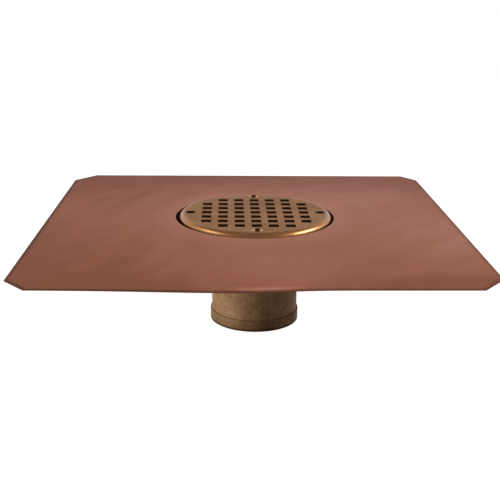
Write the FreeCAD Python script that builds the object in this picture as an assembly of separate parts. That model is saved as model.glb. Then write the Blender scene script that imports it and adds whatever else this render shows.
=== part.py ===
# Deck drain: a cast bowl with a beaded outlet, a sheet flashing soldered to its flange
# and a screwed-down strainer. Millimetres, +Z up, the front is -Y.
# The origin is the middle of the outlet's end, on the drain's axis.
import FreeCAD
import Part
import math
import os

# Strainer: a round plate with a rounded edge and a field of square holes
STRAINER_RADIUS = 74.55
STRAINER_THICKNESS = 7.0
STRAINER_EDGE_ROUND = 5.5
STRAINER_FOOT_ROUND = 1.0
STRAINER_PROUD = 3.6
HOLE_ROWS = 7
BAR_WIDTH = 6.5
HOLE_CORNER_ROUND = 0.9
HOLE_DRAFT_DEG = 6.0

# Screw circle, the oval-head screws and the open lifting holes midway between them
SCREW_INSET = 11.05
SCREW_COUNT = 2
SCREW_START_DEG = 90.0
SCREW_SHANK_RADIUS = 3.0
SCREW_HEAD_RADIUS = 5.5
SCREW_HEAD_CROWN = 1.6
SCREW_LENGTH = 19.0
SCREW_TIP_CHAMFER = 0.8
RECESS_SPAN = 6.0
RECESS_WIDTH = 1.9
RECESS_DEPTH = 2.4
RECESS_TAPER = 0.6
LIFT_HOLE_RADIUS = 5.0

# Body casting: outlet, bead, cone, bowl, flange and the two lugs under the strainer
BODY_HEIGHT = 104.4
OUTLET_RADIUS = 42.6
OUTLET_WALL = 4.6
BEAD_HEIGHT = 10.8
BEAD_PROUD = 1.4
BEAD_ROUND = 0.6
BOWL_WALL = 5.0
BOWL_STRAIGHT = 18.0
CONE_SLOPE_DEG = 45.0
CONE_ROUND = 12.0
FLANGE_WIDTH = 17.0
FLANGE_THICKNESS = 5.0
FLANGE_ROOT_ROUND = 4.0
FLANGE_EDGE_ROUND = 1.2
MOUTH_ROUND = 1.0
LUG_REACH = 8.0
LUG_THICKNESS = 8.0
LUG_HALF_ANGLE_DEG = 22.0
LUG_CORNER_ROUND = 6.0

# Flashing: a square sheet that falls gently from the drain to its edges. Its corners are snipped by
# hand, each by its own length on the front or back edge and its own length on the side edge
FLASHING_SIDE = 400.0
FRONT_LEFT_SNIP = 19.2
FRONT_LEFT_SIDE_SNIP = 21.1
FRONT_RIGHT_SNIP = 21.2
FRONT_RIGHT_SIDE_SNIP = 24.9
BACK_LEFT_SNIP = 21.6
BACK_LEFT_SIDE_SNIP = 26.0
BACK_RIGHT_SNIP = 14.6
BACK_RIGHT_SIDE_SNIP = 21.3
FLASHING_THICKNESS = 0.7
FLASHING_FALL = 4.7
FLASHING_SHIFT_X = -4.45
LAND_MARGIN = 7.0
SOLDER_LEG = 3.6

# Clearances between the pieces
RING_GAP = 3.0
HOLE_OVERHANG = 0.45
THREAD_CLEARANCE = 0.1
SHANK_CLEARANCE = 0.4

# How far a cutting shape runs past the face that it cuts, and a lug into the wall
PAST = 1.0

# Heights and radii that follow from the driving sizes
flashing_top = BODY_HEIGHT + FLASHING_THICKNESS
strainer_top = flashing_top + STRAINER_PROUD
seat_height = strainer_top - STRAINER_THICKNESS
flashing_hole_radius = STRAINER_RADIUS + RING_GAP
bowl_radius = flashing_hole_radius + HOLE_OVERHANG
bowl_outer_radius = bowl_radius + BOWL_WALL
flange_radius = bowl_radius + FLANGE_WIDTH
land_radius = flange_radius + LAND_MARGIN
screw_circle = STRAINER_RADIUS - SCREW_INSET
hole_pitch = screw_circle / ((HOLE_ROWS + 1) / 2)
hole_size = hole_pitch - BAR_WIDTH
bore_radius = OUTLET_RADIUS - OUTLET_WALL
bead_radius = OUTLET_RADIUS + BEAD_PROUD

AXIS = FreeCAD.Vector(0, 0, 1)
CENTRE = FreeCAD.Vector(0, 0, 0)


def rounded_wire(corners):
    """A closed wire through (point, round) pairs, with an arc of that radius at each corner."""
    legs = []
    for i, (here, radius) in enumerate(corners):
        back = (corners[i - 1][0] - here).normalize()
        ahead = (corners[(i + 1) % len(corners)][0] - here).normalize()
        if radius == 0:
            legs.append((here, None, here))
            continue
        half = back.getAngle(ahead) / 2
        run = radius / math.tan(half)
        inward = (back + ahead).normalize()
        middle = here + inward * (radius / math.sin(half) - radius)
        legs.append((here + back * run, middle, here + ahead * run))
    edges = []
    for i, (start, middle, end) in enumerate(legs):
        if middle is not None:
            edges.append(Part.Arc(start, middle, end).toShape())
        following = legs[(i + 1) % len(legs)][0]
        edges.append(Part.makeLine(end, following))
    return Part.Wire(edges)


def turned(corners, start_deg=0.0, sweep_deg=360.0):
    """A solid turned about the axis from (radius, height, round) corners."""
    wire = rounded_wire([(FreeCAD.Vector(r, 0, z), fillet) for r, z, fillet in corners])
    face = Part.Face(wire)
    face.rotate(CENTRE, AXIS, start_deg)
    return face.revolve(CENTRE, AXIS, sweep_deg)


def rounded_square(side, corner, height):
    """A square wire with rounded corners, flat at one height and centred on the axis."""
    half = side / 2
    corners = []
    for x, y in ((half, half), (-half, half), (-half, -half), (half, -half)):
        corners.append((FreeCAD.Vector(x, y, height), corner))
    return rounded_wire(corners)


def around(shape, count, start_deg):
    """Copies of a shape evenly spaced about the axis."""
    copies = []
    for i in range(count):
        copy = shape.copy()
        copy.rotate(CENTRE, AXIS, start_deg + 360.0 * i / count)
        copies.append(copy)
    return copies


def cone_height(radius):
    """Height of a screw head's right-angled cone at one radius."""
    return strainer_top - (SCREW_HEAD_RADIUS - radius)


def make_body():
    slope = math.tan(math.radians(CONE_SLOPE_DEG))
    lean = 1 / math.cos(math.radians(CONE_SLOPE_DEG))
    cone_top = BODY_HEIGHT - BOWL_STRAIGHT
    cone_foot = cone_top - (bowl_outer_radius - OUTLET_RADIUS) * slope
    inner_lift = BOWL_WALL * lean - BOWL_WALL * slope
    inner_top = cone_top + inner_lift
    inner_foot = inner_top - (bowl_radius - bore_radius) * slope
    flange_foot = BODY_HEIGHT - FLANGE_THICKNESS
    body = turned([
        (bore_radius, 0, 0),
        (bead_radius, 0, 0),
        (bead_radius, BEAD_HEIGHT, BEAD_ROUND),
        (OUTLET_RADIUS, BEAD_HEIGHT, BEAD_ROUND),
        (OUTLET_RADIUS, cone_foot, CONE_ROUND),
        (bowl_outer_radius, cone_top, CONE_ROUND),
        (bowl_outer_radius, flange_foot, FLANGE_ROOT_ROUND),
        (flange_radius, flange_foot, FLANGE_EDGE_ROUND),
        (flange_radius, BODY_HEIGHT, 0),
        (bowl_radius, BODY_HEIGHT, MOUTH_ROUND),
        (bowl_radius, inner_top, CONE_ROUND),
        (bore_radius, inner_foot, CONE_ROUND),
    ])
    # Two crescent lugs stand in from the bowl wall and carry the strainer
    lug_tip = screw_circle - LUG_REACH
    lug = turned(
        [
            (lug_tip, seat_height, 0),
            (lug_tip, seat_height - LUG_THICKNESS, 0),
            (bowl_radius + PAST, inner_top, 0),
            (bowl_radius + PAST, seat_height, 0),
        ],
        -LUG_HALF_ANGLE_DEG,
        2 * LUG_HALF_ANGLE_DEG,
    )
    tip_edges = []
    for edge in lug.Edges:
        ends = [vertex.Point for vertex in edge.Vertexes]
        upright = len(ends) == 2 and abs(ends[0].x - ends[1].x) + abs(ends[0].y - ends[1].y) < 1e-6
        if upright and math.hypot(ends[0].x, ends[0].y) < screw_circle:
            tip_edges.append(edge)
    lug = lug.makeFillet(LUG_CORNER_ROUND, tip_edges)
    body = body.fuse(around(lug, SCREW_COUNT, SCREW_START_DEG)).removeSplitter()
    # A tapped hole goes through each lug
    drill_foot = seat_height - 2 * LUG_THICKNESS
    tapped = Part.makeCylinder(
        SCREW_SHANK_RADIUS + THREAD_CLEARANCE,
        strainer_top - drill_foot,
        FreeCAD.Vector(screw_circle, 0, drill_foot),
    )
    return body.cut(around(tapped, SCREW_COUNT, SCREW_START_DEG))


def make_strainer():
    plate = turned([
        (0, seat_height, 0),
        (STRAINER_RADIUS, seat_height, STRAINER_FOOT_ROUND),
        (STRAINER_RADIUS, strainer_top, STRAINER_EDGE_ROUND),
        (0, strainer_top, 0),
    ])
    # Each square hole widens downwards, so that what drops in falls through
    draft = math.tan(math.radians(HOLE_DRAFT_DEG))
    top_side = hole_size - 2 * PAST * draft
    foot_side = hole_size + 2 * (STRAINER_THICKNESS + PAST) * draft
    plug = Part.makeLoft(
        [
            rounded_square(foot_side, HOLE_CORNER_ROUND, seat_height - PAST),
            rounded_square(top_side, HOLE_CORNER_ROUND, strainer_top + PAST),
        ],
        True,
        True,
    )
    cutters = []
    ends = (0, HOLE_ROWS - 1)
    places = [(i - ends[1] / 2) * hole_pitch for i in range(HOLE_ROWS)]
    for column in range(HOLE_ROWS):
        for row in range(HOLE_ROWS):
            # The four corners of the field stay solid, to keep the rim whole
            if column in ends and row in ends:
                continue
            hole = plug.copy()
            hole.translate(FreeCAD.Vector(places[column], places[row], 0))
            cutters.append(hole)
    # Countersunk holes for the screws, plain holes for lifting the plate out
    shank_hole = SCREW_SHANK_RADIUS + SHANK_CLEARANCE
    screw_hole = turned([
        (0, seat_height - PAST, 0),
        (shank_hole, seat_height - PAST, 0),
        (shank_hole, cone_height(shank_hole), 0),
        (SCREW_HEAD_RADIUS, strainer_top, 0),
        (SCREW_HEAD_RADIUS, strainer_top + PAST, 0),
        (0, strainer_top + PAST, 0),
    ])
    screw_hole.translate(FreeCAD.Vector(screw_circle, 0, 0))
    cutters += around(screw_hole, SCREW_COUNT, SCREW_START_DEG)
    lift_hole = Part.makeCylinder(
        LIFT_HOLE_RADIUS,
        STRAINER_THICKNESS + 2 * PAST,
        FreeCAD.Vector(screw_circle, 0, seat_height - PAST),
    )
    cutters += around(lift_hole, SCREW_COUNT, SCREW_START_DEG + 180.0 / SCREW_COUNT)
    return plate.cut(cutters)


def plus_wire(span, width, height):
    """The outline of a plus sign at one height."""
    a = span / 2
    b = width / 2
    outline = [
        (a, -b), (a, b), (b, b), (b, a), (-b, a), (-b, b),
        (-a, b), (-a, -b), (-b, -b), (-b, -a), (b, -a), (b, -b),
    ]
    points = [FreeCAD.Vector(x, y, height) for x, y in outline]
    return Part.makePolygon(points + points[:1])


def make_screws():
    foot = strainer_top - SCREW_LENGTH
    crown = strainer_top + SCREW_HEAD_CROWN
    outline = [
        (0, foot),
        (SCREW_SHANK_RADIUS - SCREW_TIP_CHAMFER, foot),
        (SCREW_SHANK_RADIUS, foot + SCREW_TIP_CHAMFER),
        (SCREW_SHANK_RADIUS, cone_height(SCREW_SHANK_RADIUS)),
        (SCREW_HEAD_RADIUS, strainer_top),
    ]
    points = [FreeCAD.Vector(r, 0, z) for r, z in outline]
    edges = [Part.makeLine(a, b) for a, b in zip(points, points[1:])]
    # The head is crowned: an arc from its edge to the middle
    dome_radius = (SCREW_HEAD_RADIUS ** 2 + SCREW_HEAD_CROWN ** 2) / (2 * SCREW_HEAD_CROWN)
    halfway = math.asin(SCREW_HEAD_RADIUS / dome_radius) / 2
    tip = FreeCAD.Vector(0, 0, crown)
    rise = dome_radius * (1 - math.cos(halfway))
    shoulder = FreeCAD.Vector(dome_radius * math.sin(halfway), 0, crown - rise)
    edges.append(Part.Arc(points[-1], shoulder, tip).toShape())
    edges.append(Part.makeLine(tip, points[0]))
    screw = Part.Face(Part.Wire(edges)).revolve(CENTRE, AXIS, 360)
    recess = Part.makeLoft(
        [
            plus_wire(RECESS_SPAN * RECESS_TAPER, RECESS_WIDTH * RECESS_TAPER, crown - RECESS_DEPTH),
            plus_wire(RECESS_SPAN, RECESS_WIDTH, crown),
        ],
        True,
        True,
    )
    screw = screw.cut(recess)
    screw.translate(FreeCAD.Vector(screw_circle, 0, 0))
    return Part.makeCompound(around(screw, SCREW_COUNT, SCREW_START_DEG))


def make_solder_seam():
    return turned([
        (flange_radius, BODY_HEIGHT - SOLDER_LEG, 0),
        (flange_radius + SOLDER_LEG, BODY_HEIGHT, 0),
        (flange_radius, BODY_HEIGHT, 0),
    ])


def make_flashing():
    # The sheet's corners, going round from the right-hand side
    half = FLASHING_SIDE / 2
    plan = [
        (half, FRONT_RIGHT_SIDE_SNIP - half), (half, half - BACK_RIGHT_SIDE_SNIP),
        (half - BACK_RIGHT_SNIP, half), (BACK_LEFT_SNIP - half, half),
        (-half, half - BACK_LEFT_SIDE_SNIP), (-half, FRONT_LEFT_SIDE_SNIP - half),
        (FRONT_LEFT_SNIP - half, -half), (half - FRONT_RIGHT_SNIP, -half),
    ]
    edge_height = flashing_top - FLASHING_FALL
    rim = [FreeCAD.Vector(x + FLASHING_SHIFT_X, y, edge_height) for x, y in plan]
    # The flat land over the flange meets each corner along a straight radial line
    bearings = [math.atan2(point.y, point.x) for point in rim]
    land = []
    slopes = []
    walls = []
    down = FreeCAD.Vector(0, 0, -FLASHING_THICKNESS)
    for i, bearing in enumerate(bearings):
        following = bearings[(i + 1) % len(bearings)]
        if following < bearing:
            following += 2 * math.pi
        on_land = []
        for angle in (bearing, (bearing + following) / 2, following):
            x = land_radius * math.cos(angle)
            y = land_radius * math.sin(angle)
            on_land.append(FreeCAD.Vector(x, y, flashing_top))
        arc = Part.Arc(*on_land).toShape()
        side = Part.makeLine(rim[i], rim[(i + 1) % len(rim)])
        land.append(arc)
        slopes.append(Part.makeRuledSurface(arc, side))
        walls.append(side.extrude(down))
    mouth = Part.makeCircle(flashing_hole_radius, FreeCAD.Vector(0, 0, flashing_top))
    ring = Part.makeFace([Part.Wire(land), Part.Wire([mouth])], "Part::FaceMakerBullseye")
    upper = [ring] + slopes
    lower = [face.translated(down) for face in upper]
    skin = Part.makeCompound(upper + lower + walls + [mouth.extrude(down)])
    skin.sewShape()
    sheet = Part.makeSolid(skin.Shells[0])
    if sheet.Volume < 0:
        sheet.reverse()
    return sheet


pieces = {
    "flashing": make_flashing(),
    "drain_body": make_body(),
    "solder_seam": make_solder_seam(),
    "strainer": make_strainer(),
    "strainer_screws": make_screws(),
}

os.makedirs("parts", exist_ok=True)
for name, shape in pieces.items():
    shape.exportStep("parts/" + name + ".step")
    print(name, len(shape.Solids), "solids", round(shape.Volume, 1), "mm3", shape.isValid())
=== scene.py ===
# %% [markdown]
# # A deck drain in sheet copper and cast bronze
#
# The drain is a few pieces of metal: a square copper sheet that is built into the deck, a cast bowl
# with its pipe outlet, a round strainer with square holes, the two screws that hold the strainer,
# and a bead of solder under the sheet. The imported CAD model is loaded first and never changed.
# Each piece below is made again with the surface that the real metal has, in the same place.

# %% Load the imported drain
import math

import bmesh
import bpy
from mathutils import Matrix, Vector, noise


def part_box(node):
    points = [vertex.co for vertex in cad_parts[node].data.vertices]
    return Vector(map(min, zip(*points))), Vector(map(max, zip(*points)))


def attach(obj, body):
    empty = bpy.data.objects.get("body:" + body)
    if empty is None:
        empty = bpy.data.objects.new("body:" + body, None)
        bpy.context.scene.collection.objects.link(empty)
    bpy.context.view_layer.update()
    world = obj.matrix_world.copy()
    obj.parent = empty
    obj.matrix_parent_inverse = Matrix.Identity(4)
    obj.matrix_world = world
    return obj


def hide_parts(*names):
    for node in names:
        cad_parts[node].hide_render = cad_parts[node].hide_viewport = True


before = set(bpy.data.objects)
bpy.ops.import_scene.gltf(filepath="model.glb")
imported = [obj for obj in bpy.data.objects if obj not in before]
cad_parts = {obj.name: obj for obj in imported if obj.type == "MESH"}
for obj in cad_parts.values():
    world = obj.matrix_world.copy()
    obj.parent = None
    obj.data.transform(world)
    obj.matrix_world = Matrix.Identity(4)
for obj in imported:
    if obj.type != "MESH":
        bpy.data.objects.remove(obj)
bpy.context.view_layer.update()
MM = 0.001
print("solids:", sorted(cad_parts))

# %% [markdown]
# ## The photographer's place
#
# The camera stands in front of the drain, a little left of its axis, and looks down by 17 degrees.
# It could be moved by hand until the picture looks right. Its place was solved from the sheet's
# edges and the rows of holes instead, so the picture lines up with the model. A Blender camera
# looks along its own minus Z with Y upwards, so those are aimed along the view and then rolled.

# %% Camera
CAMERA_PLACE = Vector((-28.28, -851.82, 338.02)) * MM
CAMERA_YAW, CAMERA_PITCH, CAMERA_ROLL = 0.02749, 0.30502, 0.01093
LENS_MM, SENSOR_MM = 64.58, 36


def new_object(name, data):
    """Makes an object for a mesh, a lamp or a camera and puts it in the scene."""
    made = bpy.data.objects.new(name, data)
    bpy.context.scene.collection.objects.link(made)
    return made


forward = Vector((
    math.sin(CAMERA_YAW) * math.cos(CAMERA_PITCH),
    math.cos(CAMERA_YAW) * math.cos(CAMERA_PITCH),
    -math.sin(CAMERA_PITCH),
))
aimed = forward.to_track_quat("-Z", "Y").to_matrix()
turn = aimed @ Matrix.Rotation(CAMERA_ROLL, 3, "Z")

camera_data = bpy.data.cameras.new("photo_camera")
camera_data.lens = LENS_MM
camera_data.sensor_width = SENSOR_MM
camera = new_object("photo_camera", camera_data)
camera.matrix_world = Matrix.Translation(CAMERA_PLACE) @ turn.to_4x4()
bpy.context.scene.camera = camera
bpy.context.scene.view_settings.view_transform = "Standard"
print("camera looks along", [round(part, 3) for part in forward])

# %% [markdown]
# ## Small helpers for nodes
#
# Shaders and Geometry Nodes are built in the same way: make a node, fill its sockets with numbers
# or with wires from other nodes. They could be wired with the mouse, but a script can be read and
# run again. One helper makes any node and a few do arithmetic, so a tree reads as a list of steps.

# %% Node helpers
def fill(tree, node, inputs):
    """Fills sockets, by name or number, with a value or with another node's output."""
    for name, value in inputs.items():
        if isinstance(value, bpy.types.NodeSocket):
            tree.links.new(value, node.inputs[name])
        else:
            node.inputs[name].default_value = value


def add(tree, kind, inputs=None, **settings):
    """Adds a node, sets its options, fills its sockets and returns its outputs."""
    node = tree.nodes.new(kind)
    for name, value in settings.items():
        setattr(node, name, value)
    fill(tree, node, inputs or {})
    return node.outputs


# %% Arithmetic helpers
def calc(tree, operation, *values):
    """Arithmetic on one or more numbers, from left to right."""
    result, *others = values
    for other in others or [0.0]:
        result = add(tree, "ShaderNodeMath", {0: result, 1: other}, operation=operation)[0]
    return result


def plus(tree, *values):
    """The sum of some numbers."""
    return calc(tree, "ADD", *values)


def minus(tree, *values):
    """The first number without the others."""
    return calc(tree, "SUBTRACT", *values)


def times(tree, *values):
    """The product of some numbers."""
    return calc(tree, "MULTIPLY", *values)


def weighted(tree, *pairs):
    """The sum of some numbers, each with its own share: (number, share)."""
    return plus(tree, *[times(tree, value, share) for value, share in pairs])


def spread(tree, value, low, high, to_low=0.0, to_high=1.0):
    """Stretches a number from one range to another and stops at the ends."""
    return add(tree, "ShaderNodeMapRange", {
        "Value": value, "From Min": low, "From Max": high, "To Min": to_low, "To Max": to_high,
    })["Result"]


def xyz(tree, x=0.0, y=0.0, z=0.0):
    """One vector from three numbers."""
    return add(tree, "ShaderNodeCombineXYZ", {"X": x, "Y": y, "Z": z})[0]


def split(tree, vector):
    """A vector's three numbers, by the names X, Y and Z."""
    return add(tree, "ShaderNodeSeparateXYZ", {0: vector})


# %% [markdown]
# ## Effects that several metals share
#
# Tarnish, the grain of a sand mould and the fine lines of rolling or rubbing turn up on more than
# one piece. Copies in every material would drift apart, so each is a shader node group: built once,
# with named inputs, and placed in a material with values of its own. A group gives back only masks
# and heights; the material decides which colours they mix and how deep the bump is.

# %% Group helpers
def new_tree(name, kind, inputs, outputs):
    """An empty node tree with named sockets: (label, kind of socket)."""
    tree = bpy.data.node_groups.new(name, kind)
    for way, sockets in (("INPUT", inputs), ("OUTPUT", outputs)):
        for label, socket in sockets:
            tree.interface.new_socket(label, in_out=way, socket_type="NodeSocket" + socket)
    return tree, tree.nodes.new("NodeGroupInput").outputs, tree.nodes.new("NodeGroupOutput")


def shader_group(name, scales, masks):
    """An empty group: the place and named scales go in, named masks come out."""
    inputs = [("Place", "Vector"), *((label, "Float") for label in scales)]
    return new_tree(name, "ShaderNodeTree", inputs, [(label, "Float") for label in masks])


def noise_mask(tree, place, scale, detail, roughness, distortion=0.0):
    """Soft random numbers around a half; detail adds finer ones, distortion swirls them."""
    return add(tree, "ShaderNodeTexNoise", {
        "Vector": place, "Scale": scale,
        "Detail": detail, "Roughness": roughness, "Distortion": distortion,
    })["Fac"]


def scaled_y(tree, place, factor):
    """Coordinates with Y multiplied: above 1 a pattern is drawn out along X, below 1 along Y."""
    parts = split(tree, place)
    return xyz(tree, parts["X"], times(tree, parts["Y"], factor), parts["Z"])


# %% Shared shader groups
def make_tarnish():
    """Broad clouds, and finer blotches inside them, as air and hands leave on bare metal."""
    scales = ["Cloud Scale", "Blotch Scale"]
    tree, given, result = shader_group("tarnish", scales, ["Clouds", "Blotches"])
    clouds = noise_mask(tree, given["Place"], given["Cloud Scale"], detail=3.0,
                        roughness=0.5, distortion=0.7)
    blotches = noise_mask(tree, given["Place"], given["Blotch Scale"], detail=5.0,
                          roughness=0.62, distortion=0.25)
    fill(tree, result, {
        "Clouds": spread(tree, clouds, 0.32, 0.68), "Blotches": spread(tree, blotches, 0.3, 0.7),
    })
    return tree


def make_cast_grain():
    """The pebbled skin that moulding sand leaves, with a few open pits."""
    scales = ["Grain Scale", "Pit Scale"]
    tree, given, result = shader_group("cast_grain", scales, ["Grain", "Pits"])
    grain = noise_mask(tree, given["Place"], given["Grain Scale"], detail=4.0, roughness=0.65)
    cells = add(tree, "ShaderNodeTexVoronoi", {
        "Vector": given["Place"], "Scale": given["Pit Scale"], "Randomness": 1.0,
    })["Distance"]
    fill(tree, result, {"Grain": grain, "Pits": spread(tree, cells, 0.1, 0.26, 1.0, 0.0)})
    return tree


def make_rub_lines():
    """Fine lines along X, from rolls or an abrasive: noise pulled long in one direction."""
    tree, given, result = shader_group("rub_lines", ["Line Scale", "Pull"], ["Lines"])
    pulled = scaled_y(tree, given["Place"], given["Pull"])
    lines = noise_mask(tree, pulled, given["Line Scale"], detail=4.0, roughness=0.6)
    fill(tree, result, {"Lines": spread(tree, lines, 0.25, 0.75)})
    return tree


tarnish = make_tarnish()
cast_grain = make_cast_grain()
rub_lines = make_rub_lines()
print("shared effects:", tarnish.name, cast_grain.name, rub_lines.name)

# %% [markdown]
# ## A finish to start from
#
# Every finish below starts with a Principled shader, Object coordinates and the shared groups. UV
# maps would have to be unfolded for each piece. Object coordinates are metres in the drain's own
# frame, so a pattern stays where it is, and its scale means the same on every piece. Colours are
# written as they look on a screen, from 0 to 255, and turned into the renderer's linear values.

# %% Colour helpers
def screen_colour(red, green, blue):
    """A colour as seen on a screen, as linear red, green, blue and alpha."""
    parts = []
    for part in (red, green, blue):
        part /= 255
        parts.append(part / 12.92 if part < 0.04045 else ((part + 0.055) / 1.055) ** 2.4)
    return (*parts, 1.0)


def colour_steps(tree, value, steps):
    """A ramp from a number to colours: steps are (position, screen colour)."""
    ramp = tree.nodes.new("ShaderNodeValToRGB")
    fill(tree, ramp, {"Fac": value})
    ends = ramp.color_ramp.elements
    while len(ends) < len(steps):
        ends.new(0.5)
    for end, (position, colour) in zip(ends, steps):
        end.position = position
        end.color = screen_colour(*colour)
    return ramp.outputs["Color"]


def layered(tree, colour, layers):
    """Lays colours over each other: a layer is (how much of it shows, its colour)."""
    for share, over in layers:
        if not isinstance(over, bpy.types.NodeSocket):
            over = screen_colour(*over)
        mixed = add(tree, "ShaderNodeMix", {0: share, 6: colour, 7: over}, data_type="RGBA")
        colour = mixed[2]
    return colour


print("half grey on a screen is", round(screen_colour(128, 128, 128)[0], 3), "in linear light")


# %% Finish helpers
def new_finish(name):
    """A material with a Principled shader; returns it with its tree, shader and coordinates."""
    material = bpy.data.materials.new(name)
    material.use_nodes = True
    tree = material.node_tree
    shader = tree.nodes["Principled BSDF"]
    place = add(tree, "ShaderNodeTexCoord")["Object"]
    print("finish:", name)
    return material, tree, shader, place


def use_group(tree, group, inputs):
    """Places a shared effect in a material and returns its outputs."""
    return add(tree, "ShaderNodeGroup", inputs, node_tree=group)


def turned_place(tree, place, degrees):
    """The coordinates turned about the drain's axis, so that lines run at an angle."""
    return add(tree, "ShaderNodeMapping", {
        "Vector": place, "Rotation": (0.0, 0.0, math.radians(degrees)),
    })[0]


def axis_distance(tree, place):
    """How far a point lies from the drain's axis, and its height."""
    parts = split(tree, place)
    flat = xyz(tree, parts["X"], parts["Y"])
    radius = add(tree, "ShaderNodeVectorMath", {0: flat}, operation="LENGTH")
    return radius["Value"], parts["Z"]


def bumped(tree, shader, height, strength, depth_mm):
    """Feeds a height map to the shader's normal, as deep as the real marks are."""
    bump = add(tree, "ShaderNodeBump", {
        "Height": height, "Strength": strength, "Distance": depth_mm * MM,
    })
    fill(tree, shader, {"Normal": bump["Normal"]})


# %% [markdown]
# ## The copper finish
#
# Flashing copper comes soft from the mill, pinkish brown and satin. It is never even: clouds of
# thin oxide lie across it, drawn long at an angle, and the rolls leave faint lines. A pinker ring
# lies around the hole. Painted light and shade lies over that: broad lighter and darker areas, a
# browner far edge, darker front corners and sheared edges, and a painted highlight in the middle of
# the front edge. A picture of copper would repeat and blur up close. So noise moves the colour
# through a ramp of browns, masks made from the place on the sheet lay marks over it, and an
# attribute on the mesh says how near the edge is.

# %% Sheet sizes
sheet_low, sheet_high = (Vector(corner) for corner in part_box("flashing"))
SHEET_THICKNESS = 0.7 * MM
SHEET_HOLE = 77.55 * MM
sheet_top = sheet_high.z
sheet_fall = sheet_high.z - sheet_low.z - SHEET_THICKNESS
print("sheet falls", round(sheet_fall / MM, 2), "mm to its edges")

# %% Copper tones
COPPER_BROWNS = [
    (0.0, (129, 81, 60)), (0.35, (146, 93, 73)), (0.62, (152, 100, 81)), (1.0, (165, 114, 98)),
]
RING_PINK = (172, 121, 104)
FAR_SHADE_BROWN = (116, 72, 50)
EDGE_SHADE_BROWN = (62, 36, 27)
EDGE_HIGHLIGHT_PINK = (196, 140, 118)
CLOUD_TURN = 30
CLOUD_STRETCH = 0.4
FRONT_MIDDLE = 3 * MM
# Painted light and shade, lighter and darker areas: middle x and y and reach in mm, change of tone
# there and at the reach
LIGHT_AND_SHADE_AREAS = [
    (105, 50, 380, 0.36, -0.44),
    (-35, -130, 130, 0.18, 0.0),
    (-140, -10, 180, 0.27, 0.0),
    (130, -25, 110, 0.14, 0.0),
]


def copper_tone(tree, place, air, lines):
    """How light the copper looks: clouds, blotches and roll lines of the oxide, shifted by broad
    areas of painted light and shade.
    """
    tone = weighted(tree, (air["Clouds"], 0.52), (air["Blotches"], 0.22), (lines, 0.08))
    for x, y, reach, at_middle, at_reach in LIGHT_AND_SHADE_AREAS:
        middle = (x * MM, y * MM, sheet_top)
        away = add(tree, "ShaderNodeVectorMath", {0: place, 1: middle}, operation="DISTANCE")
        area = spread(tree, away["Value"], 0.0, reach * MM, at_middle, at_reach)
        tone = plus(tree, tone, area)
    return tone


# %% Copper
def make_copper():
    material, tree, shader, place = new_finish("mill_copper")
    drawn_out = scaled_y(tree, turned_place(tree, place, CLOUD_TURN), CLOUD_STRETCH)
    air = use_group(tree, tarnish, {"Place": drawn_out, "Cloud Scale": 8.0, "Blotch Scale": 60.0})
    rolled = use_group(tree, rub_lines, {"Place": place, "Line Scale": 9.0, "Pull": 26.0})
    spot = split(tree, place)
    from_front = minus(tree, spot["Y"], sheet_low.y)
    sideways = calc(tree, "ABSOLUTE", minus(tree, spot["X"], FRONT_MIDDLE))
    # Painted shade darkens the front edge towards its two corners
    in_front = spread(tree, from_front, 8 * MM, 40 * MM, -0.5, 0.0)
    painted_front_shade = times(tree, in_front, spread(tree, sideways, 40 * MM, 130 * MM))
    tone = plus(tree, copper_tone(tree, place, air, rolled["Lines"]), painted_front_shade)
    # A pinker, lighter ring lies around the hole
    radius, _ = axis_distance(tree, place)
    ring_reach = plus(tree, radius, times(tree, air["Blotches"], 14 * MM))
    pink_ring = spread(tree, ring_reach, SHEET_HOLE + 6 * MM, SHEET_HOLE + 36 * MM, 0.5, 0.0)
    # Painted shade makes the far edge browner, more so to the right
    leaning = plus(tree, spot["Y"], times(tree, spot["X"], 0.2))
    far_painted_shade = spread(tree, leaning, 105 * MM, 195 * MM, 0.0, 0.6)
    # Painted shade darkens the sheared edges and a strip inside them, more so to the left
    edge = add(tree, "ShaderNodeAttribute", attribute_name="edge_near")["Fac"]
    to_left = spread(tree, spot["X"], sheet_low.x, sheet_high.x, 0.72, 0.45)
    edge_painted_shade = times(tree, spread(tree, edge, 0.4, 0.85), to_left)
    # A painted highlight brightens the middle of the front edge
    rubbing_and_highlight = times(
        tree,
        spread(tree, sideways, 8 * MM, 34 * MM, 0.42, 0.0),
        spread(tree, from_front, 2.2 * MM, 4 * MM),
        spread(tree, from_front, 5.5 * MM, 10.5 * MM, 1.0, 0.0),
    )
    colour = layered(tree, colour_steps(tree, tone, COPPER_BROWNS), [
        (pink_ring, RING_PINK), (far_painted_shade, FAR_SHADE_BROWN), (edge_painted_shade, EDGE_SHADE_BROWN), (rubbing_and_highlight, EDGE_HIGHLIGHT_PINK),
    ])
    fill(tree, shader, {
        "Base Color": colour, "Roughness": spread(tree, tone, 0.2, 0.85, 0.48, 0.38),
        "Metallic": 0.4, "Specular IOR Level": 0.05, "Specular Tint": (0.28, 0.17, 0.13, 1),
    })
    relief = plus(tree, air["Blotches"], times(tree, rolled["Lines"], 0.4))
    bumped(tree, shader, relief, strength=0.05, depth_mm=0.3)
    return material


copper = make_copper()

# %% [markdown]
# ## Finishing a mesh
#
# All pieces end the same way: the object sits at the origin, rides on the drain's one body and
# stands for its CAD node. Smooth shading alone would smear the light around every corner, and flat
# shading would show each face, so faces are smooth and edges above a given angle are sharp.

# %% Piece helpers
def shade(mesh, corner_degrees):
    """Smooth faces, with a sharp edge wherever two faces meet at more than the given angle."""
    for polygon in mesh.polygons:
        polygon.use_smooth = True
    shape = bmesh.new()
    shape.from_mesh(mesh)
    for edge in shape.edges:
        edge.smooth = edge.calc_face_angle(math.pi) < math.radians(corner_degrees)
    shape.to_mesh(mesh)
    shape.free()


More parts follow.
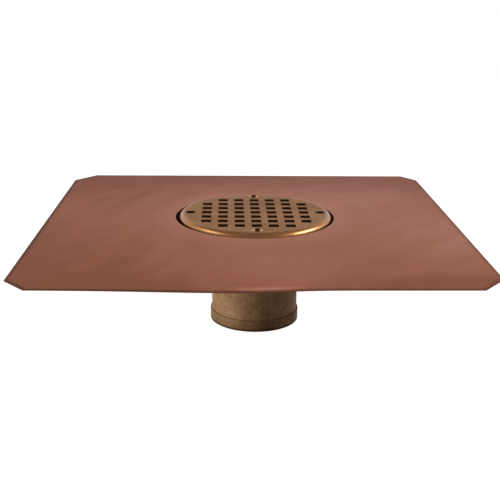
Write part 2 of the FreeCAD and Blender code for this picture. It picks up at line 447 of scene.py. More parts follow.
def install(name, mesh, material, node, corner_degrees):
    """Shades the finished piece, lets it ride on the drain and stand for its CAD node."""
    shade(mesh, corner_degrees)
    mesh.name = name
    if not mesh.materials:
        mesh.materials.append(material)
    piece = new_object(name, mesh)
    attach(piece, "root")
    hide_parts(node)
    print(name, len(mesh.polygons), "faces")


def mesh_from(shape, name):
    """Turns an edited shape into a mesh whose faces all look outwards."""
    bmesh.ops.recalc_face_normals(shape, faces=shape.faces)
    mesh = bpy.data.meshes.new(name)
    shape.to_mesh(mesh)
    shape.free()
    return mesh


# %% [markdown]
# ## The copper sheet
#
# The sheet is a 400 mm square whose corners are snipped, each by its own size. It lies flat where
# it is joined to the casting and falls a few millimetres to its straight edges. Like all soft sheet
# it isn't quite flat: the edge nearest to the camera sags in the middle. A plain grid would not
# follow both the round hole and the straight edges, so the mesh is a fan of spokes from the hole to
# the outline. Top, edge, underside and hole wall are rings of one closed loop.

# %% Sheet outline
OUTLINE_STEP = 5.0 * MM
# Each corner is snipped by hand: how much along the front or back edge, and along the side
FRONT_LEFT_SNIP = (19.2 * MM, 21.1 * MM)
FRONT_RIGHT_SNIP = (21.2 * MM, 24.9 * MM)
BACK_LEFT_SNIP = (21.6 * MM, 26.0 * MM)
BACK_RIGHT_SNIP = (14.6 * MM, 21.3 * MM)


def walk_outline():
    """Points along the snipped square's eight sides, evenly spaced on each side."""
    left, front = sheet_low.x, sheet_low.y
    right_side, back = sheet_high.x, sheet_high.y
    corners = [
        (right_side, front + FRONT_RIGHT_SNIP[1]), (right_side, back - BACK_RIGHT_SNIP[1]),
        (right_side - BACK_RIGHT_SNIP[0], back), (left + BACK_LEFT_SNIP[0], back),
        (left, back - BACK_LEFT_SNIP[1]), (left, front + FRONT_LEFT_SNIP[1]),
        (left + FRONT_LEFT_SNIP[0], front), (right_side - FRONT_RIGHT_SNIP[0], front),
    ]
    points = []
    for start, end in zip(corners, corners[1:] + corners[:1]):
        start, end = Vector(start), Vector(end)
        count = max(2, round((end - start).length / OUTLINE_STEP))
        points += [start.lerp(end, place / count) for place in range(count)]
    return points


outline = walk_outline()
print("sheet outline:", len(outline), "points")

# %% Sheet height
HALF_SHEET = 200 * MM
SLOPE_EASE = 0.12
WAVE_DEPTH, WAVE_SCALE, WAVE_SLICE = 0.35 * MM, 9, 3.7
SIDE_LEAN, BACK_LEAN = 0.22 * MM, 0.35 * MM
SAG_DEPTH, SAG_MIDDLE = 2.2 * MM, -19 * MM
SAG_LEFT, SAG_RIGHT = 94 * MM, 44 * MM


def sheet_height(point, share):
    """The sheet's top: flat at the casting, falling to the edges, with the waves of soft metal."""
    fall = math.hypot(share, SLOPE_EASE) - SLOPE_EASE
    height = sheet_top - sheet_fall * fall / (math.hypot(1, SLOPE_EASE) - SLOPE_EASE)
    if share > 0:
        # Slow waves, always downwards so that the sheet stays inside its box, and a slight lean
        wave = noise.noise(Vector((point.x * WAVE_SCALE, point.y * WAVE_SCALE, WAVE_SLICE)))
        height -= WAVE_DEPTH * share * (0.5 + 0.5 * wave) * (1 - share ** 4)
        height += (SIDE_LEAN * point.x - BACK_LEAN * max(0, point.y)) * share / HALF_SHEET
    return height


def sag(point, share):
    """How far the front edge's middle hangs down, wider to the left than to the right."""
    if point.y > 0:
        return 0.0
    across = (point.x - SAG_MIDDLE) / (SAG_LEFT if point.x < SAG_MIDDLE else SAG_RIGHT)
    towards_front = min(1.0, -point.y / HALF_SHEET)
    return SAG_DEPTH * math.exp(-across * across) * towards_front ** 4 * share ** 2


print("front edge sags by", round(sag(Vector((SAG_MIDDLE, -HALF_SHEET)), 1) / MM, 2), "mm")

# %% Sheet rings
SHEET_LAND = 102.0 * MM
SLOPE_RINGS = 34
EDGE_SOFT = 0.18 * MM
HOLE_INSETS = (EDGE_SOFT, 0.8 * MM, 3 * MM, 8 * MM, 16 * MM)
EDGE_INSETS = (0.7 * MM, EDGE_SOFT)


def sheet_rings():
    """The closed loop of rings: where a ring lies, its place there, its drop below the top."""
    face = [("hole", inset) for inset in HOLE_INSETS]
    face += [("slope", step / SLOPE_RINGS) for step in range(SLOPE_RINGS)]
    face += [("edge", inset) for inset in EDGE_INSETS]
    # The wall between the two faces has two rings, a little in from each face
    wall = (EDGE_SOFT, SHEET_THICKNESS - EDGE_SOFT)
    rings = [(*ring, 0.0) for ring in face]
    rings += [("edge", 0.0, drop) for drop in wall]
    rings += [(*ring, SHEET_THICKNESS) for ring in face[::-1]]
    rings += [("hole", 0.0, drop) for drop in wall[::-1]]
    return rings


def ring_distance(kind, place, reach):
    """How far out a ring crosses a spoke, and its share of the way from the land to the edge."""
    if kind == "hole":
        return SHEET_HOLE + place, 0.0
    if kind == "slope":
        return SHEET_LAND + (reach - SHEET_LAND) * place, place
    distance = reach - place
    return distance, (distance - SHEET_LAND) / (reach - SHEET_LAND)


print("sheet rings:", len(sheet_rings()))

# %% Sheet mesh
# The hole was cut a little to the left of the sheet's true middle
HOLE_DRIFT = Vector((-0.5 * MM, 0.0))
EDGE_TONE_WIDTH = 9.0 * MM


def close_rings(shape, rings):
    """Joins each ring of corners to the next, and the last one to the first, with faces."""
    for first, second in zip(rings, rings[1:] + rings[:1]):
        for step in range(len(first)):
            following = (step + 1) % len(first)
            shape.faces.new((first[step], second[step], second[following], first[following]))


def make_sheet():
    shape = bmesh.new()
    near_edge = shape.verts.layers.float.new("edge_near")
    rings = []
    for kind, place, drop in sheet_rings():
        ring = []
        for end in outline:
            reach = end.length
            distance, share = ring_distance(kind, place, reach)
            point = end.normalized() * distance + HOLE_DRIFT * (1 - share) ** 2
            height = sheet_height(point, share) - sag(point, share) - drop
            vert = shape.verts.new((point.x, point.y, height))
            vert[near_edge] = max(0.0, 1.0 - (reach - distance) / EDGE_TONE_WIDTH)
            ring.append(vert)
        rings.append(ring)
    close_rings(shape, rings)
    return mesh_from(shape, "copper_sheet")


install("copper_sheet", make_sheet(), copper, "flashing", corner_degrees=60)

# %% [markdown]
# ## The strainer's finish
#
# The strainer is a bronze casting that was machined and rubbed to a satin face. Its rounded rim is
# polished and has a film of wax. Inside the square holes the cast skin is left, painted very dark
# as the shade in them.
# Three materials would meet in hard lines. One does all three softly: the distance from the axis
# tells the rim, and the height tells how deep in a hole a point is.

# %% Satin bronze
plate_low, plate_high = (Vector(corner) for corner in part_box("strainer"))
PLATE_RADIUS, PLATE_TOP, PLATE_FOOT = plate_high.x, plate_high.z, plate_low.z
RIM_ROUND = 5.5 * MM
SATIN_BRONZES = [(0.15, (142, 105, 71)), (0.5, (156, 117, 84)), (0.85, (166, 127, 93))]
RIM_BRONZE = (168, 113, 62)
RUB_TURN = 12
HOLE_SHADE_BROWNS = [(0.3, (34, 22, 12)), (0.7, (62, 42, 25))]


def make_satin_bronze():
    material, tree, shader, place = new_finish("satin_bronze")
    radius, height = axis_distance(tree, place)
    rim_start = PLATE_RADIUS - RIM_ROUND
    rim = spread(tree, radius, rim_start - 0.5 * MM, rim_start + 2.5 * MM)
    flat_face = minus(tree, 1.0, rim)
    air = use_group(tree, tarnish, {"Place": place, "Cloud Scale": 22.0, "Blotch Scale": 150.0})
    rubbing_and_highlight = use_group(tree, rub_lines, {
        "Place": turned_place(tree, place, RUB_TURN), "Line Scale": 60.0, "Pull": 18.0,
    })
    skin = use_group(tree, cast_grain, {"Place": place, "Grain Scale": 1400.0, "Pit Scale": 420.0})
    tone = weighted(tree, (air["Clouds"], 0.5), (air["Blotches"], 0.2), (rubbing_and_highlight["Lines"], 0.3))
    # Deeper than the chamfer and inside the rim, the cast skin of the holes shows, painted very
    # dark as the shade in them
    deep = spread(tree, height, PLATE_TOP - 1.5 * MM, PLATE_TOP - 0.5 * MM, 1.0, 0.0)
    inside = times(tree, deep, flat_face)
    colour = layered(tree, colour_steps(tree, tone, SATIN_BRONZES), [
        (rim, RIM_BRONZE), (inside, colour_steps(tree, skin["Grain"], HOLE_SHADE_BROWNS)),
    ])
    rough = add(tree, "ShaderNodeMix", {
        0: rim,
        2: spread(tree, tone, 0.2, 0.8, 0.42, 0.33),
        3: spread(tree, air["Blotches"], 0.0, 1.0, 0.29, 0.34),
    }, data_type="FLOAT")[0]
    fill(tree, shader, {
        "Base Color": colour,
        "Roughness": calc(tree, "MAXIMUM", rough, times(tree, inside, 0.75)),
        "Metallic": spread(tree, inside, 0.0, 1.0, 1.0, 0.4),
        "Specular Tint": (0.7, 0.58, 0.52, 1),
        # The wax on the polished rim shines white where a lamp is mirrored
        "Coat Weight": times(tree, rim, 0.7), "Coat Roughness": 0.16,
    })
    lines = times(tree, rubbing_and_highlight["Lines"], flat_face, 0.3)
    relief = plus(tree, lines, times(tree, skin["Grain"], inside))
    bumped(tree, shader, relief, strength=0.15, depth_mm=0.12)
    return material


satin_bronze = make_satin_bronze()

# %% [markdown]
# ## The strainer
#
# A round plate with a bull-nosed rim, pierced by seven rows of square holes that leave out the four
# corners of the field. The plate is turned, as on a lathe: a profile goes around the drain's axis,
# and a point on the axis becomes a pole, where triangles meet. The 45 holes could be cut one by
# one, but they repeat, so they are Geometry Nodes: one square plug is drawn, rounded, pushed down
# in steps that widen it, set out on a grid, and cut away with a boolean. Four round holes follow:
# two countersunk for the screws, two plain ones for a lifting hook.

# %% Strainer plate
FOOT_ROUND = 1.0 * MM
PLATE_STEPS = 288


def lathe(name, profile, steps):
    """Turns (radius, height) points about the Z axis; the profile goes from axis to axis."""
    shape = bmesh.new()
    rings = []
    for radius, height in profile:
        ring = []
        for step in range(steps if radius > 0 else 1):
            angle = 2 * math.pi * step / steps
            x, y = radius * math.cos(angle), radius * math.sin(angle)
            ring.append(shape.verts.new((x, y, height)))
        rings.append(ring)
    for lower, upper in zip(rings, rings[1:]):
        for step in range(steps):
            corners = []
            for ring, place in ((lower, step), (lower, step + 1), (upper, step + 1), (upper, step)):
                corner = ring[place % len(ring)]
                if corner not in corners:
                    corners.append(corner)
            shape.faces.new(corners)
    return mesh_from(shape, name)


def quarter_round(across, height, radius, start_degrees, count):
    """Points of a quarter circle, for a rounded corner of a profile."""
    points = []
    for step in range(count + 1):
        angle = math.radians(start_degrees + 90 * step / count)
        points.append((across + radius * math.cos(angle), height + radius * math.sin(angle)))
    return points


plate_profile = [
    (0, PLATE_FOOT),
    *quarter_round(PLATE_RADIUS - FOOT_ROUND, PLATE_FOOT + FOOT_ROUND, FOOT_ROUND, -90, 4),
    *quarter_round(PLATE_RADIUS - RIM_ROUND, PLATE_TOP - RIM_ROUND, RIM_ROUND, 0, 12),
    (0, PLATE_TOP),
]
plate_mesh = lathe("strainer_plate", plate_profile, PLATE_STEPS)
print("strainer plate", round(PLATE_RADIUS * 2 / MM, 1), "mm across")


# %% Geometry tree helpers
SOCKET_KINDS = {int: "Int", float: "Float", bpy.types.Material: "Material"}


def geometry_tree(name, sizes):
    """An empty geometry tree with one named input for each size."""
    geometry = [("Geometry", "Geometry")]
    inputs = [(label, SOCKET_KINDS[type(value)]) for label, value in sizes.items()]
    return new_tree(name, "GeometryNodeTree", geometry + inputs, geometry)


def end_tree(tree, result, geometry, finish):
    """Ends a tree: whatever is still an instance becomes real mesh and takes the finish."""
    solid = add(tree, "GeometryNodeRealizeInstances", {"Geometry": geometry})
    done = add(tree, "GeometryNodeSetMaterial", {"Geometry": solid[0], "Material": finish})
    fill(tree, result, {0: done[0]})


def grow(name, tree, sizes, start):
    """Runs a geometry tree on a mesh and returns the result as a plain mesh."""
    holder = new_object(name + "_start", start)
    modifier = holder.modifiers.new("grow", "NODES")
    modifier.node_group = tree
    for item in tree.interface.items_tree:
        if item.in_out == "INPUT" and item.name in sizes:
            modifier[item.identifier] = sizes[item.name]
    graph = bpy.context.evaluated_depsgraph_get()
    mesh = bpy.data.meshes.new_from_object(holder.evaluated_get(graph), depsgraph=graph)
    holder.modifiers.remove(modifier)
    bpy.data.objects.remove(holder)
    return mesh


# %% Geometry shape helpers
def moved_up(tree, geometry, height, spin=0.0):
    """A shape moved up by a height and turned about the upright axis."""
    return add(tree, "GeometryNodeTransform", {
        "Geometry": geometry, "Translation": xyz(tree, z=height), "Rotation": (0.0, 0.0, spin),
    })[0]


def joined(tree, *parts):
    """Several shapes as one."""
    whole = tree.nodes.new("GeometryNodeJoinGeometry")
    for part in parts:
        fill(tree, whole, {0: part})
    return whole.outputs[0]


def cut(tree, body, cutter):
    """A solid with another one cut away from it."""
    return add(tree, "GeometryNodeMeshBoolean", {
        "Mesh 1": body, "Mesh 2": cutter,
    }, operation="DIFFERENCE", solver="EXACT")["Mesh"]


# %% One square plug
# How far a cutter stands out of what it cuts, so that no two faces lie on each other
PAST = 1.0 * MM
WELD = 0.001 * MM
CORNER_POINTS = 4


def square_plug(tree, given):
    """A plug for one square hole: three pushes downwards, each with its own size."""
    side, chamfer, foot = given["Side"], given["Chamfer"], given["Foot"]
    mouth = plus(tree, side, times(tree, chamfer, 2.0))
    square = add(tree, "GeometryNodeCurvePrimitiveQuadrilateral", {
        "Width": mouth, "Height": mouth,
    }, mode="RECTANGLE")
    rounded = add(tree, "GeometryNodeFilletCurve", {
        "Curve": square[0], "Count": CORNER_POINTS, "Radius": given["Corner"],
    }, mode="POLY")
    lid = add(tree, "GeometryNodeFillCurve", {"Curve": rounded[0]}, mode="NGONS")
    start = plus(tree, given["Top"], PAST)
    lid = moved_up(tree, lid[0], start)
    depth = minus(tree, given["Top"], foot)
    wide_foot = plus(tree, side, times(tree, given["Draft"], depth, 2.0))
    pushes = [
        (PAST, None),
        (chamfer, calc(tree, "DIVIDE", side, mouth)),
        (minus(tree, start, foot, chamfer), calc(tree, "DIVIDE", wide_foot, side)),
    ]
    plug, chosen = lid, True
    for push, scale in pushes:
        pushed = add(tree, "GeometryNodeExtrudeMesh", {
            "Mesh": plug, "Selection": chosen, "Offset": xyz(tree, z=-1.0),
            "Offset Scale": push, "Individual": False,
        }, mode="FACES")
        plug, chosen = pushed["Mesh"], pushed["Top"]
        if scale is not None:
            plug = add(tree, "GeometryNodeScaleElements", {
                "Geometry": plug, "Selection": chosen, "Scale": scale,
            }, domain="FACE")[0]
    # Pushed down, the square's sides and foot face inwards, so they are flipped; the lid is right
    outward = add(tree, "GeometryNodeFlipFaces", {"Mesh": plug})[0]
    return add(tree, "GeometryNodeMergeByDistance", {
        "Geometry": joined(tree, outward, lid), "Distance": WELD,
    })[0]


# %% Round cutters
BORE_STEPS = 48


def bore(tree, given, radius):
    """A round pin through the plate."""
    top, foot = given["Top"], given["Foot"]
    depth = minus(tree, top, foot)
    pin = add(tree, "GeometryNodeMeshCylinder", {
        "Vertices": BORE_STEPS, "Radius": radius, "Depth": plus(tree, depth, 2 * PAST),
    })
    middle = times(tree, plus(tree, top, foot), 0.5)
    return moved_up(tree, pin["Mesh"], middle)


def countersink(tree, given):
    """A cone of 90 degrees whose mouth is the edge of the screw's head."""
    depth = minus(tree, given["Head"], given["Shank Hole"])
    cone = add(tree, "GeometryNodeMeshCone", {
        "Vertices": BORE_STEPS, "Radius Top": plus(tree, given["Head"], PAST),
        "Radius Bottom": given["Shank Hole"], "Depth": plus(tree, depth, PAST),
    })
    return moved_up(tree, cone["Mesh"], minus(tree, given["Top"], depth))


# %% Pierced strainer
SCREW_CIRCLE = 63.5 * MM
SCREW_HEAD = 5.5 * MM
# A square is left out where both its distances from the middle are above this share of the field
CORNER_SHARE = 0.45
strainer_sizes = {
    "Rows": 7, "Pitch": 15.875 * MM, "Side": 9.375 * MM, "Corner": 0.9 * MM,
    "Chamfer": 0.3 * MM, "Draft": math.tan(math.radians(6)), "Top": PLATE_TOP, "Foot": PLATE_FOOT,
    "Screw Circle": SCREW_CIRCLE, "Head": SCREW_HEAD, "Shank Hole": 3.4 * MM,
    "Lift Hole": 5.0 * MM, "Finish": satin_bronze,
}


def make_piercing():
    """The tree that pierces the plate; all its sizes are named inputs."""
    tree, given, result = geometry_tree("pierce_strainer", strainer_sizes)
    rows = given["Rows"]
    span = times(tree, minus(tree, rows, 1.0), given["Pitch"])
    field = add(tree, "GeometryNodeMeshGrid", {
        "Size X": span, "Size Y": span, "Vertices X": rows, "Vertices Y": rows,
    })["Mesh"]
    where = split(tree, add(tree, "GeometryNodeInputPosition")[0])
    from_middle = [calc(tree, "ABSOLUTE", where[axis]) for axis in "XY"]
    limit = times(tree, span, CORNER_SHARE)
    kept = calc(tree, "LESS_THAN", calc(tree, "MINIMUM", *from_middle), limit)
    # Four places on the screw circle: left and right for lifting, front and back for screws
    circle = given["Screw Circle"]
    ring = add(tree, "GeometryNodeMeshCircle", {"Vertices": 4, "Radius": circle})["Mesh"]
    sideways = calc(tree, "GREATER_THAN", *from_middle)
    endways = minus(tree, 1.0, sideways)
    plate = given["Geometry"]
    for points, chosen, cutter in (
        (field, kept, square_plug(tree, given)),
        (ring, sideways, bore(tree, given, given["Lift Hole"])),
        (ring, endways, bore(tree, given, given["Shank Hole"])),
        (ring, endways, countersink(tree, given)),
    ):
        placed = add(tree, "GeometryNodeInstanceOnPoints", {
            "Points": points, "Selection": chosen, "Instance": cutter,
        })
        solid = add(tree, "GeometryNodeRealizeInstances", {"Geometry": placed[0]})
        plate = cut(tree, plate, solid[0])
    end_tree(tree, result, plate, given["Finish"])
    return tree


strainer_mesh = grow("strainer", make_piercing(), strainer_sizes, plate_mesh)
install("strainer_plate", strainer_mesh, satin_bronze, "strainer",
        corner_degrees=24)

# %% [markdown]
# ## The screws' finish
#
# The screws are brass, brighter and yellower than the bronze around them. A painted dark reflection
# and shade covers the recess and runs down the head to the front. A second material on the recess's
# faces would stop at them, so a mask measures the distance from a point in front of each screw's
# middle.

# %% Screw brass
screw_low, screw_high = (Vector(corner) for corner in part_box("strainer_screws"))
SCREW_CROWN, SCREW_FOOT = screw_high.z, screw_low.z
BRASSES = [(0.1, (206, 160, 112)), (0.9, (226, 184, 136))]
DARK_REFLECTION_BROWN = (50, 29, 16)
DARK_REFLECTION_FORWARD = 1.9 * MM
DARK_REFLECTION_STRETCH = 0.6


def make_screw_brass():
    material, tree, shader, place = new_finish("screw_brass")
    air = use_group(tree, tarnish, {"Place": place, "Cloud Scale": 240.0, "Blotch Scale": 900.0})
    rubbing_and_highlight = use_group(tree, rub_lines, {"Place": place, "Line Scale": 300.0, "Pull": 8.0})
    spot = split(tree, place)
    # Painted dark reflection and shade: a spot around a point in front of each screw's middle
    from_axis = calc(tree, "ABSOLUTE", plus(tree, spot["Y"], DARK_REFLECTION_FORWARD))
    along = times(tree, minus(tree, from_axis, SCREW_CIRCLE), DARK_REFLECTION_STRETCH)
    off_centre, _ = axis_distance(tree, xyz(tree, spot["X"], along))
    painted_dark_reflection = spread(tree, off_centre, 1.9 * MM, 2.9 * MM, 0.92, 0.0)
    bright = colour_steps(tree, air["Clouds"], BRASSES)
    fill(tree, shader, {
        "Base Color": layered(tree, bright, [(painted_dark_reflection, DARK_REFLECTION_BROWN)]),
        "Roughness": spread(tree, rubbing_and_highlight["Lines"], 0.0, 1.0, 0.22, 0.36),
        "Metallic": 1.0, "Specular Tint": (0.75, 0.6, 0.45, 1),
    })
    bumped(tree, shader, air["Blotches"], strength=0.1, depth_mm=0.05)
    return material


screw_brass = make_screw_brass()

# %% [markdown]
# ## The screws
#
# Two machine screws with raised countersunk heads hold the strainer down. Both are the same screw,
# so one is turned, gets its cross recess and its thread, and Geometry Nodes sets it at the front
# and the back. With a bump the thread's outline would stay smooth, so it is a spiral curve swept
# with a three-cornered profile. Each screw stands at its own angle, from a fixed seed.

# %% Screw profile
SCREW_CORE, THREAD_CREST = 2.55 * MM, 3.0 * MM
SCREW_TAPER = 0.6 * MM
HEAD_EDGE = 0.12 * MM
DOME_STEPS, SCREW_STEPS = 8, 64

neck = PLATE_TOP - (SCREW_HEAD - THREAD_CREST)
crown_rise = SCREW_CROWN - PLATE_TOP
dome = (SCREW_HEAD ** 2 + crown_rise ** 2) / (2 * crown_rise)
dome_reach = math.asin(SCREW_HEAD / dome)
screw_profile = [
    (0, SCREW_FOOT), (SCREW_CORE - SCREW_TAPER, SCREW_FOOT), (SCREW_CORE, SCREW_FOOT + SCREW_TAPER),
    (SCREW_CORE, neck - SCREW_TAPER), (THREAD_CREST, neck),
    (SCREW_HEAD - HEAD_EDGE, PLATE_TOP - HEAD_EDGE),
]
for step in range(DOME_STEPS + 1):
    lean = dome_reach * (1 - step / DOME_STEPS)
    screw_profile.append((dome * math.sin(lean), SCREW_CROWN - dome * (1 - math.cos(lean))))
screw_start = lathe("screw", screw_profile, SCREW_STEPS)
print("screw", round((SCREW_CROWN - SCREW_FOOT) / MM, 1), "mm long")

# %% Screw set
THREAD_RIDGE = 0.42 * MM
THREAD_LEAD, THREAD_RUNOUT = 1.0 * MM, 1.2 * MM
screw_sizes = {
    "Screw Circle": SCREW_CIRCLE, "Crown": SCREW_CROWN,
    "Recess Span": 6.0 * MM, "Recess Width": 1.9 * MM, "Recess Depth": 2.2 * MM,
    "Thread Foot": SCREW_FOOT + THREAD_LEAD, "Thread Pitch": 1.25 * MM,
    "Thread Length": neck - SCREW_FOOT - THREAD_LEAD - THREAD_RUNOUT,
    "Thread Radius": THREAD_CREST - THREAD_RIDGE, "Thread Ridge": THREAD_RIDGE,
    "Seed": 4, "Finish": screw_brass,
}


def wound_thread(tree, given):
    """A ridge with three corners that winds up the screw's shank."""
    length, radius = given["Thread Length"], given["Thread Radius"]
    spiral = add(tree, "GeometryNodeCurveSpiral", {
        "Resolution": 32, "Rotations": calc(tree, "DIVIDE", length, given["Thread Pitch"]),
        "Start Radius": radius, "End Radius": radius, "Height": length,
    })
    ridge = add(tree, "GeometryNodeCurvePrimitiveCircle", {
        "Resolution": 3, "Radius": given["Thread Ridge"],
    }, mode="RADIUS")
    thread = add(tree, "GeometryNodeCurveToMesh", {
        "Curve": spiral[0], "Profile Curve": ridge[0], "Fill Caps": True,
    })
    return moved_up(tree, thread[0], given["Thread Foot"])


def make_screw_set():
    """Cuts the recess, winds the thread and sets out the screws."""
    tree, given, result = geometry_tree("set_screws", screw_sizes)
    screw = given["Geometry"]
    bar_height = times(tree, given["Recess Depth"], 2.0)
    bar_size = xyz(tree, given["Recess Span"], given["Recess Width"], bar_height)
    for spin in (0.0, math.pi / 2):
        bar = add(tree, "GeometryNodeMeshCube", {"Size": bar_size})["Mesh"]
        screw = cut(tree, screw, moved_up(tree, bar, given["Crown"], spin))
    first, step = (times(tree, given["Screw Circle"], radii) for radii in (-1.0, 2.0))
    places = add(tree, "GeometryNodeMeshLine", {
        "Count": 2, "Start Location": xyz(tree, y=first), "Offset": xyz(tree, y=step),
    }, mode="OFFSET")
    angle = add(tree, "FunctionNodeRandomValue", {"Seed": given["Seed"]}, data_type="FLOAT")
    placed = add(tree, "GeometryNodeInstanceOnPoints", {
        "Points": places[0],
        "Instance": joined(tree, wound_thread(tree, given), screw),
        "Rotation": xyz(tree, z=angle[1]),
    })
    end_tree(tree, result, placed[0], given["Finish"])
    return tree


screw_mesh = grow("screws", make_screw_set(), screw_sizes, screw_start)
install("screw_pair", screw_mesh, screw_brass, "strainer_screws",
        corner_degrees=28)

# %% [markdown]
# ## The casting's finish
#
# The bowl and its outlet are bronze cast in a sand mould and left as they came out: brown, dull and
# pebbled, with small pits. Painted shade makes the bead at the outlet's end browner and the edge of
# the end nearly black, and darkens the bowl's mouth. A plain metal shader would mirror the lamps
# too clearly, so only part of this skin counts as metal, the grain goes into both the colour and
# the bump, and heights along the axis place the darker bands.

# %% Cast bronze
CAST_BRONZES = [(0.2, (122, 92, 64)), (0.5, (143, 111, 79)), (0.8, (162, 130, 97))]
PIT_BROWN = (84, 60, 38)
BEAD_SHADE_BROWN = (92, 64, 40)
END_SHADE_BROWN = (46, 30, 17)
MOUTH_SHADE_BROWN = (50, 33, 20)


def make_cast_bronze():
    material, tree, shader, place = new_finish("cast_bronze")
    air = use_group(tree, tarnish, {"Place": place, "Cloud Scale": 30.0, "Blotch Scale": 180.0})
    skin = use_group(tree, cast_grain, {"Place": place, "Grain Scale": 620.0, "Pit Scale": 300.0})
    tone = weighted(tree, (air["Clouds"], 0.3), (air["Blotches"], 0.35), (skin["Grain"], 0.35))
    radius, height = axis_distance(tree, place)
    # Painted shade in the bowl's mouth, the wall seen in the gap round the strainer
    in_bowl = spread(tree, radius, 79 * MM, 80.5 * MM, 0.85, 0.0)
    mouth_shade = times(tree, in_bowl, spread(tree, height, 84 * MM, 90 * MM))
    colour = layered(tree, colour_steps(tree, tone, CAST_BRONZES), [
        (times(tree, skin["Pits"], 0.5), PIT_BROWN),
        # Painted shade towards the outlet's end: a browner bead and a nearly black edge at the end
        (spread(tree, height, 8 * MM, 12.5 * MM, 0.42, 0.0), BEAD_SHADE_BROWN),
        (spread(tree, height, 1.0 * MM, 3.2 * MM, 0.85, 0.0), END_SHADE_BROWN),
        (mouth_shade, MOUTH_SHADE_BROWN),
    ])
    fill(tree, shader, {
        "Base Color": colour, "Roughness": spread(tree, tone, 0.2, 0.8, 0.72, 0.52),
        "Metallic": 0.1, "Specular IOR Level": 0.06,
    })
    relief = minus(tree, skin["Grain"], times(tree, skin["Pits"], 0.6))
    bumped(tree, shader, relief, strength=0.5, depth_mm=0.35)
    return material


cast_bronze = make_cast_bronze()

# %% [markdown]
# ## The drain casting
#
# The casting's shape is already right in CAD: bowl, cone, outlet with its bead, and the two lugs.
# To turn it again would gain nothing. Its mesh arrives as loose triangles, so a copy is welded
# together; then smooth shading runs across the round walls and stops at the real corners.

# %% Drain casting
CASTING_WELD = 0.002 * MM


def weld_copy(node):
    """A copy of a CAD node's mesh with its triangles joined at their corners."""
    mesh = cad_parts[node].data.copy()
    shape = bmesh.new()
    shape.from_mesh(mesh)
    bmesh.ops.remove_doubles(shape, verts=shape.verts, dist=CASTING_WELD)
    shape.to_mesh(mesh)
    shape.free()
    mesh.materials.clear()
    return mesh


install("drain_casting", weld_copy("drain_body"), cast_bronze, "drain_body",
        corner_degrees=30)

# %% [markdown]
# ## The solder seam
#
# Under the sheet, a run of solder fills the corner between the copper and the casting's flange. It
# is drawn by hand, so its width wanders and its face is hollow. A turned ring would look machined,
# so a short profile is carried around the circle with a slow change of size. The finish is dull
# grey tin.

# %% Solder
TINS = [(0.1, (138, 136, 130)), (0.9, (178, 176, 168))]


def make_solder():
    material, tree, shader, place = new_finish("soft_solder")
    air = use_group(tree, tarnish, {"Place": place, "Cloud Scale": 45.0, "Blotch Scale": 300.0})
    skin = use_group(tree, cast_grain, {"Place": place, "Grain Scale": 500.0, "Pit Scale": 200.0})
    fill(tree, shader, {
        "Base Color": colour_steps(tree, air["Clouds"], TINS),
        "Roughness": spread(tree, air["Blotches"], 0.0, 1.0, 0.32, 0.55), "Metallic": 1.0,
    })
    bumped(tree, shader, skin["Grain"], strength=0.2, depth_mm=0.3)
    return material


solder = make_solder()

# %% Solder bead
SEAM_STEPS = 320
HOLLOW_STEPS = 6
HOLLOW = 0.8
BEAD_SIZE, BEAD_WANDER, WANDER_SCALE = 0.9, 0.09, 7
WANDER_SLICE = Vector((0, 0, 5))


def bead_profile(size):
    """The bead's corners, out from the flange and down from the sheet, with its hollow face."""
    profile = [(0, 0), (0, -size)]
    for step in range(1, HOLLOW_STEPS):
        share = step / HOLLOW_STEPS
        lean = share * math.pi / 2
        out = 1 - HOLLOW * math.cos(lean) - (1 - HOLLOW) * (1 - share)
        drop = -1 + HOLLOW * math.sin(lean) + (1 - HOLLOW) * share
        profile.append((size * out, size * drop))
    return profile + [(size, 0)]


def make_seam():
    """A ring with a hollow face between the flange's edge and the sheet's underside."""
    low, high = (Vector(corner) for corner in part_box("solder_seam"))
    leg = high.z - low.z
    inner = high.x - leg
    shape = bmesh.new()
    rings = []
    for step in range(SEAM_STEPS):
        angle = 2 * math.pi * step / SEAM_STEPS
        around = Vector((math.cos(angle), math.sin(angle), 0))
        wander = BEAD_WANDER * noise.noise(around * WANDER_SCALE + WANDER_SLICE)
        rings.append([
            shape.verts.new(around * (inner + out) + Vector((0, 0, high.z + drop)))
            for out, drop in bead_profile(leg * (BEAD_SIZE + wander))
        ])
    close_rings(shape, rings)
    return mesh_from(shape, "solder_seam")


install("solder_bead", make_seam(), solder, "solder_seam", corner_degrees=40)

# %% [markdown]
# ## Floor and backdrop
#
# The photograph is a studio cut-out: pure white all round. A floor and a world as bright as that
# would wash the drain out. So both look white to the camera and to shiny metal through the Light
# Path node, while they light the drain only a little. The ceiling and the room behind the camera
# are darker, and so is the floor in the pipe. The dark ceiling and room give the rim its dark
# middle, and the screws theirs together with a painted dark reflection.

# %% Floor
FLOOR_REACH = 6.0
FLOOR_GREY = (0.22, 0.22, 0.22, 1)
FLOOR_GLOW = 0.97
PIPE_INSIDE = 40 * MM
WHITE = (1, 1, 1, 1)


def seeing_rays(tree):
    """Two masks: rays that see something, straight or mirrored, and the camera's own rays."""
    rays = add(tree, "ShaderNodeLightPath")
    own = rays["Is Camera Ray"]
    seen = calc(tree, "MAXIMUM", own, rays["Is Glossy Ray"], rays["Is Transmission Ray"])
    return seen, own


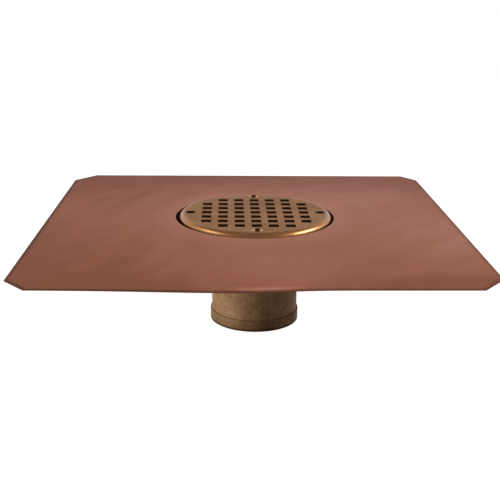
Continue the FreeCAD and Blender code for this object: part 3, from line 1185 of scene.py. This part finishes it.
def make_floor():
    material, tree, shader, place = new_finish("studio_floor")
    tree.nodes.remove(shader)
    seen, _ = seeing_rays(tree)
    from_axis, _ = axis_distance(tree, place)
    white = times(tree, seen, spread(tree, from_axis, PIPE_INSIDE, PIPE_INSIDE + 1 * MM))
    matte = add(tree, "ShaderNodeBsdfDiffuse", {"Color": FLOOR_GREY})[0]
    glow = add(tree, "ShaderNodeEmission", {"Color": WHITE, "Strength": FLOOR_GLOW})[0]
    both = add(tree, "ShaderNodeAddShader", {0: matte, 1: glow})[0]
    choice = add(tree, "ShaderNodeMixShader", {0: white, 1: matte, 2: both})[0]
    fill(tree, tree.nodes["Material Output"], {"Surface": choice})
    mesh = bpy.data.meshes.new("studio_floor")
    signs = ((-1, -1), (1, -1), (1, 1), (-1, 1))
    corners = [(FLOOR_REACH * x, FLOOR_REACH * y, 0) for x, y in signs]
    mesh.from_pydata(corners, [], [(0, 1, 2, 3)])
    mesh.materials.append(material)
    return new_object("studio_floor", mesh)


floor = make_floor()
print("floor:", floor.name, 2 * FLOOR_REACH, "m wide")

# %% World
WALL_FILL = 0.12
CEILING_BAND, CEILING_SHARE = (0.45, 0.75), 0.38
ROOM_BAND, ROOM_SHARE = (-0.85, -0.3), 0.45


def make_world():
    world = bpy.data.worlds.new("studio")
    world.use_nodes = True
    tree = world.node_tree
    seen, own = seeing_rays(tree)
    direction = split(tree, add(tree, "ShaderNodeTexCoord")["Generated"])
    ceiling = spread(tree, direction["Z"], *CEILING_BAND, 1.0, CEILING_SHARE)
    room = spread(tree, direction["Y"], *ROOM_BAND, ROOM_SHARE, 1.0)
    # The camera itself always sees white; metal sees white with the dark ceiling and room
    white = calc(tree, "MAXIMUM", times(tree, ceiling, room), own)
    level = add(tree, "ShaderNodeMix", {0: seen, 2: WALL_FILL, 3: white}, data_type="FLOAT")
    fill(tree, tree.nodes["Background"], {"Color": WHITE, "Strength": level[0]})
    return world


bpy.context.scene.world = make_world()
print("world:", bpy.context.scene.world.name)

# %% [markdown]
# ## Lamps
#
# Two soft boxes at the left and the right show as the bright ends of the strainer's rim. A lamp at
# the left and a weak one at the right shape the outlet; they stand lower than the sheet and light
# nothing above it. A wide lamp overhead is hidden from mirrors, because it would bleach the metal.
# Sun or point lamps would cast hard shadows and small hot spots, so all of these are area lamps.

# %% Soft boxes
DRAIN_TOP = (0, 0, sheet_top)
PIPE_MIDDLE = (0, 0, 0.05)
# Name, direction from the point it lights, distance, width and height in m, watts, that point
LAMPS = [
    ("right_box", (0.85, -0.05, 0.52), 1.3, 0.8, 0.36, 10.6, DRAIN_TOP),
    ("left_box", (-0.8, -0.16, 0.58), 1.3, 0.65, 0.28, 2.6, DRAIN_TOP),
    ("outlet_box", (-0.975, -0.22, 0.0), 1.0, 0.2, 0.09, 10.1, PIPE_MIDDLE),
    ("outlet_fill", (0.97, -0.15, 0.0), 1.0, 0.3, 0.09, 0.55, PIPE_MIDDLE),
    ("overhead", (-0.1, -0.3, 1.0), 1.6, 1.2, 1.2, 22.0, DRAIN_TOP),
]


def soft_box(name, direction, distance, width, height, watts, aim):
    """An area lamp at a distance in a direction from the point that it lights."""
    lamp_data = bpy.data.lights.new(name, "AREA")
    lamp_data.shape = "RECTANGLE"
    lamp_data.size, lamp_data.size_y = width, height
    lamp_data.energy = watts
    lamp = new_object(name, lamp_data)
    lamp.location = Vector(aim) + Vector(direction).normalized() * distance
    lamp.rotation_euler = (Vector(aim) - lamp.location).to_track_quat("-Z", "Y").to_euler()
    return lamp


lamps = {sizes[0]: soft_box(*sizes) for sizes in LAMPS}
lamps["overhead"].visible_glossy = False
print("lamps:", list(lamps))
